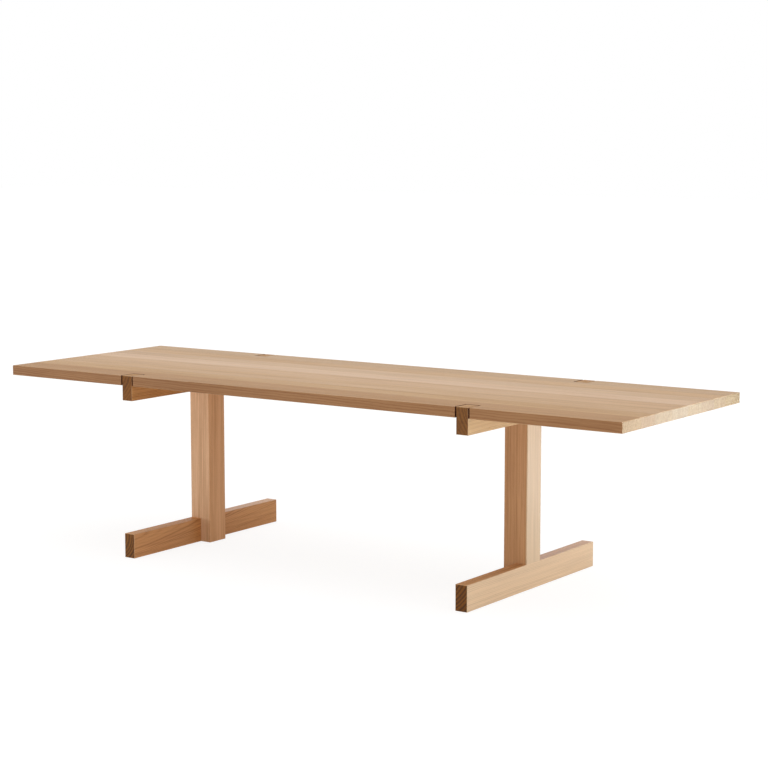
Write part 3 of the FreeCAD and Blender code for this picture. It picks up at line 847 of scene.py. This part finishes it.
def turn_fittings(node, tree, places, sizes, finish, tilt=(0.0, 0.0, 0.0), flutes=0.0):
    """Turned fittings on their places, as one plain mesh that stands for the CAD node."""
    name = f"{node}_turned"
    points = bpy.data.meshes.new(f"{name}_places")
    points.from_pydata(places, [], [])
    piece = bpy.data.objects.new(name, points)
    bpy.context.scene.collection.objects.link(piece)
    lathe = piece.modifiers.new("Lathe", "NODES")
    lathe.node_group = tree
    given = {**sizes, "Flute Depth": flutes, "Tilt": tilt, "Finish": finish}
    for item in tree.interface.items_tree:
        if item.in_out == "INPUT" and item.name in given:
            lathe[item.identifier] = given[item.name]
    depsgraph = bpy.context.evaluated_depsgraph_get()
    mesh = bpy.data.meshes.new_from_object(piece.evaluated_get(depsgraph), depsgraph=depsgraph)
    if not mesh.polygons:
        raise RuntimeError(f"{name} came out empty")
    piece.modifiers.remove(lathe)
    piece.data = mesh
    mesh.name = name
    mesh.materials.clear()
    mesh.materials.append(finish)
    mesh.polygons.foreach_set("material_index", [0] * len(mesh.polygons))
    bpy.data.meshes.remove(points)
    mesh.shade_smooth()
    mesh.set_sharp_from_angle(angle=SHARP_EDGE)
    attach(piece, "root")
    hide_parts(node)


def metal_material(name, colour, tarnish, roughness):
    """Bare or plated metal with a cloudy skin and fine turning marks."""
    material, shader = bare_material(name)
    place = place_on(shader)
    patches = cloud(place, (190.0, 190.0, 190.0), detail=3.0)[0]
    grit = cloud(place, (2600.0, 2600.0, 2600.0), detail=1.0)[0]
    marks = cloud(place, (300.0, 300.0, 5200.0), detail=1.0)[0]
    worn = rescale(patches, 0.46, 0.72)
    skin = mix_colours(worn * 0.6, (*colour, 1.0), (*tarnish, 1.0))
    rough = worn * 0.16 + roughness + grit * 0.08
    coat(shader, skin, rough, relief(marks * 0.6 + grit * 0.4, depth=0.00003, strength=0.35))
    shader.inputs["Metallic"].default_value = 1.0
    return material


def powder_material(colour):
    """Matt powder coat with a fine orange-peel skin and soft patches of paler dust."""
    material, shader = bare_material("black_powder_coat")
    place = place_on(shader)
    peel = cloud(place, (1500.0, 1500.0, 1500.0), detail=1.0)[0]
    dust = cloud(place, (70.0, 70.0, 70.0), detail=3.0)[0]
    pale = tuple(channel + 0.035 for channel in colour)
    skin = mix_colours(rescale(dust, 0.45, 0.75), (*colour, 1.0), (*pale, 1.0))
    coat(shader, skin, peel * 0.14 + dust * 0.12 + 0.42, relief(peel, depth=0.00006, strength=0.5))
    return material


def beech_material(colour):
    """Bare beech with fine fibres and short brown flecks along the dowel."""
    material, shader = bare_material("bare_beech")
    place = place_on(shader)
    fibre = cloud(place, (30.0, 1300.0, 1300.0))[0]
    fleck = rescale(cloud(place, (170.0, 1500.0, 1500.0), detail=0.0)[0], 0.62, 0.70)
    dark = (*(channel * 0.62 for channel in colour), 1.0)
    wood = mix_colours(fibre * 0.5, (*colour, 1.0), dark)
    wood = mix_colours(fleck * 0.55, wood, dark)
    coat(shader, wood, fibre * 0.2 + 0.55, relief(fibre, depth=0.00008, strength=0.4))
    return material


def felt_material(colour):
    """Pressed wool felt: matted fibres of lighter and darker wool."""
    material, shader = bare_material("wool_felt")
    place = place_on(shader)
    mat, swirl = cloud(place, (900.0, 900.0, 900.0), detail=3.0, roughness=0.7)
    hair = cloud(swirl * 0.004 + place, (420.0, 2600.0, 2600.0), roughness=0.6)[0]
    dark = tuple(channel * 0.5 for channel in colour)
    pale = tuple(min(1.0, channel * 1.7) for channel in colour)
    wool = mix_colours(rescale(mat, 0.35, 0.65), (*dark, 1.0), (*colour, 1.0))
    wool = mix_colours(rescale(hair, 0.54, 0.68), wool, (*pale, 1.0))
    coat(shader, wool, hair * 0.1 + 0.88, relief(hair + mat, depth=0.0004, strength=0.8))
    shader.inputs["Sheen Weight"].default_value = 0.25
    shader.inputs["Specular IOR Level"].default_value = 0.1
    return material


class TABLE_OT_turn_bolts(bpy.types.Operator):
    """Turns the threaded socket bolts that hold the top"""

    bl_idname = "table.turn_bolts"
    bl_label = "Turn Bolts"

    bevel = 0.0004
    knurl = 0.00025

    def execute(self, context):
        fittings = settings().fittings
        # Head height, neck, thread root, where the thread starts, socket width and depth, and pitch.
        kinds = {
            "top_bolts": (0.008, 0.008, 0.0066, 0.030, fittings.bolt_socket, 0.004, fittings.bolt_pitch),
            "plate_bolts": (0.006, 0.006, 0.0048, 0.0085, fittings.plate_socket, 0.003, fittings.plate_pitch),
        }
        for kind, (head, neck, root, start, socket, depth, pitch) in kinds.items():
            for node, size, places in fittings_of(kind):
                sizes = {
                    "Head Diameter": size.x,
                    "Head Height": head,
                    "Rim Height": head - self.bevel,
                    "Seat Diameter": size.x - 3 * self.bevel,
                    "Socket Width": socket,
                    "Socket Depth": depth,
                    "Bevel": self.bevel,
                    "Neck Diameter": neck,
                    "Thread Diameter": neck,
                    "Root Diameter": root,
                    "Thread Start": start,
                    "Thread End": size.z - 2 * self.bevel,
                    "Length": size.z,
                    "Pitch": pitch,
                }
                tree = shared_tree("socket_bolt", sizes, HEAD_RINGS, FLAT_TIP_RINGS)
                turn_fittings(node, tree, places, sizes, shared_zinc(), flutes=self.knurl)
        return {"FINISHED"}


class TABLE_OT_turn_screws(bpy.types.Operator):
    """Turns the countersunk screws that hold the fixing plates on the posts"""

    bl_idname = "table.turn_screws"
    bl_label = "Turn Screws"

    point = 0.008
    head_down = (math.pi, 0.0, 0.0)

    def execute(self, context):
        for node, size, places in fittings_of("plate_screws", low_end=False):
            sizes = {
                "Head Diameter": size.x,
                "Head Height": 0.0038,
                "Rim Height": 0.0006,
                "Seat Diameter": 0.0044,
                "Socket Width": 0.004,
                "Socket Depth": 0.0024,
                "Bevel": 0.0002,
                "Neck Diameter": 0.0042,
                "Thread Diameter": 0.006,
                "Root Diameter": 0.0036,
                "Thread Start": 0.024,
                "Thread End": size.z - self.point,
                "Length": size.z,
                "Pitch": settings().fittings.screw_pitch,
            }
            tree = shared_tree("wood_screw", sizes, HEAD_RINGS, POINTED_TIP_RINGS)
            turn_fittings(node, tree, places, sizes, shared_zinc(), self.head_down)
        return {"FINISHED"}


class TABLE_OT_turn_washers(bpy.types.Operator):
    """Turns the washers under the top bolts"""

    bl_idname = "table.turn_washers"
    bl_label = "Turn Washers"

    bore = 0.0084
    bevel = 0.0002

    def execute(self, context):
        for node, size, places in fittings_of("bolt_washers"):
            sizes = {"Diameter": size.x, "Length": size.z, "Bore": self.bore, "Bevel": self.bevel}
            tree = shared_tree("plain_washer", sizes, WASHER_RINGS)
            turn_fittings(node, tree, places, sizes, shared_zinc())
        return {"FINISHED"}


class TABLE_OT_turn_inserts(bpy.types.Operator):
    """Turns the threaded brass inserts in the underside of the top"""

    bl_idname = "table.turn_inserts"
    bl_label = "Turn Inserts"

    bevel = 0.0003
    pitch = 0.0025

    def execute(self, context):
        tarnish, rough = (0.52, 0.34, 0.14), 0.26
        brass = metal_material("turned_brass", settings().fittings.brass, tarnish, rough)
        # Bore, thread root and hexagonal mouth of each kind.
        kinds = {"bolt_inserts": (0.0082, 0.0118, 0.0094), "plate_inserts": (0.0062, 0.0100, 0.0078)}
        for kind, (bore, root, mouth) in kinds.items():
            for node, size, places in fittings_of(kind):
                sizes = {
                    "Bore": bore,
                    "Socket Width": mouth,
                    "Socket Depth": size.z / 4,
                    "Thread Diameter": size.x,
                    "Root Diameter": root,
                    "Thread Start": 2 * self.bevel,
                    "Thread End": size.z - 2 * self.bevel,
                    "Length": size.z,
                    "Pitch": self.pitch,
                    "Bevel": self.bevel,
                }
                tree = shared_tree("threaded_insert", sizes, INSERT_RINGS, INSERT_FAR_RINGS)
                turn_fittings(node, tree, places, sizes, brass)
        return {"FINISHED"}


class TABLE_OT_turn_dowels(bpy.types.Operator):
    """Turns the fluted dowels in the glued laps"""

    bl_idname = "table.turn_dowels"
    bl_label = "Turn Dowels"

    bevel = 0.0015
    flute = 0.0005
    lying = (0.0, math.pi / 2, 0.0)

    def execute(self, context):
        beech = beech_material(settings().fittings.beech)
        for node, size, places in fittings_of("foot_dowels", "bearer_dowels", axis=0):
            sizes = {"Diameter": size.z, "Length": size.x, "Bevel": self.bevel}
            tree = shared_tree("fluted_dowel", sizes, DOWEL_RINGS)
            turn_fittings(node, tree, places, sizes, beech, self.lying, self.flute)
        return {"FINISHED"}


class TABLE_OT_press_glides(bpy.types.Operator):
    """Makes the felt glides under the feet and posts"""

    bl_idname = "table.press_glides"
    bl_label = "Press Glides"

    bevel = 0.0007
    fray = 0.00025

    def execute(self, context):
        felt = felt_material(settings().fittings.felt)
        for node, size, places in fittings_of("floor_glides"):
            sizes = {"Diameter": size.x, "Length": size.z, "Bevel": self.bevel}
            tree = shared_tree("felt_glide", sizes, GLIDE_RINGS)
            turn_fittings(node, tree, places, sizes, felt, flutes=self.fray)
        return {"FINISHED"}


class TABLE_OT_coat_plates(bpy.types.Operator):
    """Gives the steel fixing plates their powder coat"""

    bl_idname = "table.coat_plates"
    bl_label = "Coat Plates"

    def execute(self, context):
        powder = powder_material(settings().fittings.powder)
        for side in SIDES:
            finish_node(f"{side}_fixing_plate", powder)
        return {"FINISHED"}


def seen_rays(tree):
    """One for rays that show something, to the camera or in metal or glass, and zero for the rest."""
    rays = add_node(tree, "ShaderNodeLightPath").outputs
    seen = calc("MAXIMUM", Value(rays["Is Camera Ray"]), Value(rays["Is Glossy Ray"]))
    return calc("MAXIMUM", seen, Value(rays["Is Transmission Ray"]))


def floor_material():
    """A pale floor that the camera sees as white, with the table's shadow on it, and clear from below."""
    pale, shadow, glow = 0.85, 0.22, 0.86
    material = bpy.data.materials.new("pale_floor")
    tree = empty_tree(material)
    matt = make(tree, "ShaderNodeBsdfDiffuse", {"Color": (pale, pale, pale, 1.0)})
    faint = make(tree, "ShaderNodeBsdfDiffuse", {"Color": (shadow, shadow, shadow, 1.0)})
    light = make(tree, "ShaderNodeEmission", {"Color": WHITE, "Strength": glow})
    shown = make(tree, "ShaderNodeAddShader", {0: faint, 1: light})
    above = make(tree, "ShaderNodeMixShader", {0: seen_rays(tree), 1: matt, 2: shown})
    below = make(tree, "ShaderNodeBsdfTransparent")
    under = make(tree, "ShaderNodeNewGeometry", output="Backfacing")
    surface = make(tree, "ShaderNodeMixShader", {0: under, 1: above, 2: below})
    add_node(tree, "ShaderNodeOutputMaterial", {"Surface": surface})
    return material


def build_world(ambient):
    """White behind the table, and an even dim light from all round."""
    world = bpy.data.worlds.new("studio")
    tree = empty_tree(world)
    dim = make(tree, "ShaderNodeBackground", {"Color": WHITE, "Strength": ambient})
    white = make(tree, "ShaderNodeBackground", {"Color": WHITE, "Strength": 1.0})
    sky = make(tree, "ShaderNodeMixShader", {0: seen_rays(tree), 1: dim, 2: white})
    add_node(tree, "ShaderNodeOutputWorld", {"Surface": sky})
    bpy.context.scene.world = world


def add_lamp(name, kind, energy, place, target, **shape):
    """A lamp that looks at a target and that the camera doesn't see."""
    light = bpy.data.lights.new(name, kind)
    light.energy = energy
    for key, value in shape.items():
        setattr(light, key, value)
    lamp = bpy.data.objects.new(name, light)
    lamp.location = place
    lamp.rotation_euler = (Vector(target) - Vector(place)).to_track_quat("-Z", "Y").to_euler()
    lamp.visible_camera = False
    bpy.context.scene.collection.objects.link(lamp)


def add_panel(name, energy, place, target, width, height, **shape):
    """A flat rectangular lamp."""
    add_lamp(name, "AREA", energy, place, target, shape="RECTANGLE", size=width, size_y=height, **shape)


class TABLE_OT_build_stage(bpy.types.Operator):
    """Builds the floor, the light and the camera"""

    bl_idname = "table.build_stage"
    bl_label = "Build Stage"

    reach = 40.0
    # How high the middle of the long low lamps is, and how tall they are.
    low = 0.42
    low_height = 0.8
    warm = (1.0, 0.98, 0.84)
    camera_place = (4.47549, -6.26783, 1.69901)
    camera_turn = (math.radians(82.7272), 0.0, math.radians(34.717))

    def execute(self, context):
        studio = settings().studio
        corners = [(x * self.reach, y * self.reach, 0.0) for x, y in ((-1, -1), (1, -1), (1, 1), (-1, 1))]
        mesh = bpy.data.meshes.new("studio_floor")
        mesh.from_pydata(corners, [], [(0, 1, 2, 3)])
        mesh.materials.append(floor_material())
        floor = bpy.data.objects.new("studio_floor", mesh)
        context.scene.collection.objects.link(floor)
        build_world(studio.ambient)
        self.hang_lamps(studio)
        data = bpy.data.cameras.new("camera")
        data.lens = studio.lens
        camera = bpy.data.objects.new("camera", data)
        camera.location = self.camera_place
        camera.rotation_euler = self.camera_turn
        context.scene.collection.objects.link(camera)
        context.scene.camera = camera
        context.scene.view_settings.view_transform = "Standard"
        return {"FINISHED"}

    def hang_lamps(self, studio):
        """A wide soft sun, three long low lamps, and two small ones for the right faces and the right end."""
        low, height = self.low, self.low_height
        soft, board_spread, end_spread = math.radians(80), math.radians(52), math.radians(32)
        add_lamp("ceiling", "SUN", studio.ceiling, (0.8, 0.6, 4.0), (0.0, 0.0, 0.5), angle=soft)
        add_panel("low_left", studio.low_left, (-3.5, -3.5, low), (0.0, 0.0, low), 3.0, height)
        add_panel("low_front", studio.low_front, (1.0, -4.5, low), (0.6, 0.0, low), 4.0, height)
        add_panel("low_right", studio.low_right, (5.0, -1.0, low), (0.5, 0.0, low), 3.0, height)
        add_panel("sheen_board", studio.sheen_board, (1.95, 1.65, 0.20), (0.815, -0.30, 0.16), 1.1, 0.36,
                  spread=board_spread)
        add_panel("end_light", studio.end_light, (2.45, 1.65, 0.50), (1.425, -0.06, 0.72), 0.5, 0.35,
                  spread=end_spread, color=self.warm)


OPERATORS = (
    TABLE_OT_finish_top,
    TABLE_OT_finish_trestles,
    TABLE_OT_turn_bolts,
    TABLE_OT_turn_screws,
    TABLE_OT_turn_washers,
    TABLE_OT_turn_inserts,
    TABLE_OT_turn_dowels,
    TABLE_OT_press_glides,
    TABLE_OT_coat_plates,
    TABLE_OT_build_stage,
)


class TABLE_PT_pieces(bpy.types.Panel):
    """Lists what can be made or finished"""

    bl_idname = "TABLE_PT_pieces"
    bl_label = "Trestle Table"
    bl_space_type = "VIEW_3D"
    bl_region_type = "UI"
    bl_category = "Table"

    def draw(self, context):
        for operator in OPERATORS:
            self.layout.operator(operator.bl_idname)


CLASSES = (OakFinish, Fittings, Studio, TableSettings, *OPERATORS, TABLE_PT_pieces)


def register():
    """Adds the classes and the table's settings to Blender."""
    for cls in CLASSES:
        bpy.utils.register_class(cls)
    bpy.types.Scene.trestle_table = PointerProperty(type=TableSettings)


def unregister():
    """Takes the settings and the classes out again."""
    del bpy.types.Scene.trestle_table
    for cls in reversed(CLASSES):
        bpy.utils.unregister_class(cls)


def main():
    """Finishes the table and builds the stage."""
    register()
    bpy.ops.table.finish_top()
    bpy.ops.table.finish_trestles()
    bpy.ops.table.turn_bolts()
    bpy.ops.table.turn_screws()
    bpy.ops.table.turn_washers()
    bpy.ops.table.turn_inserts()
    bpy.ops.table.turn_dowels()
    bpy.ops.table.press_glides()
    bpy.ops.table.coat_plates()
    bpy.ops.table.build_stage()


if __name__ == "__main__":
    main()
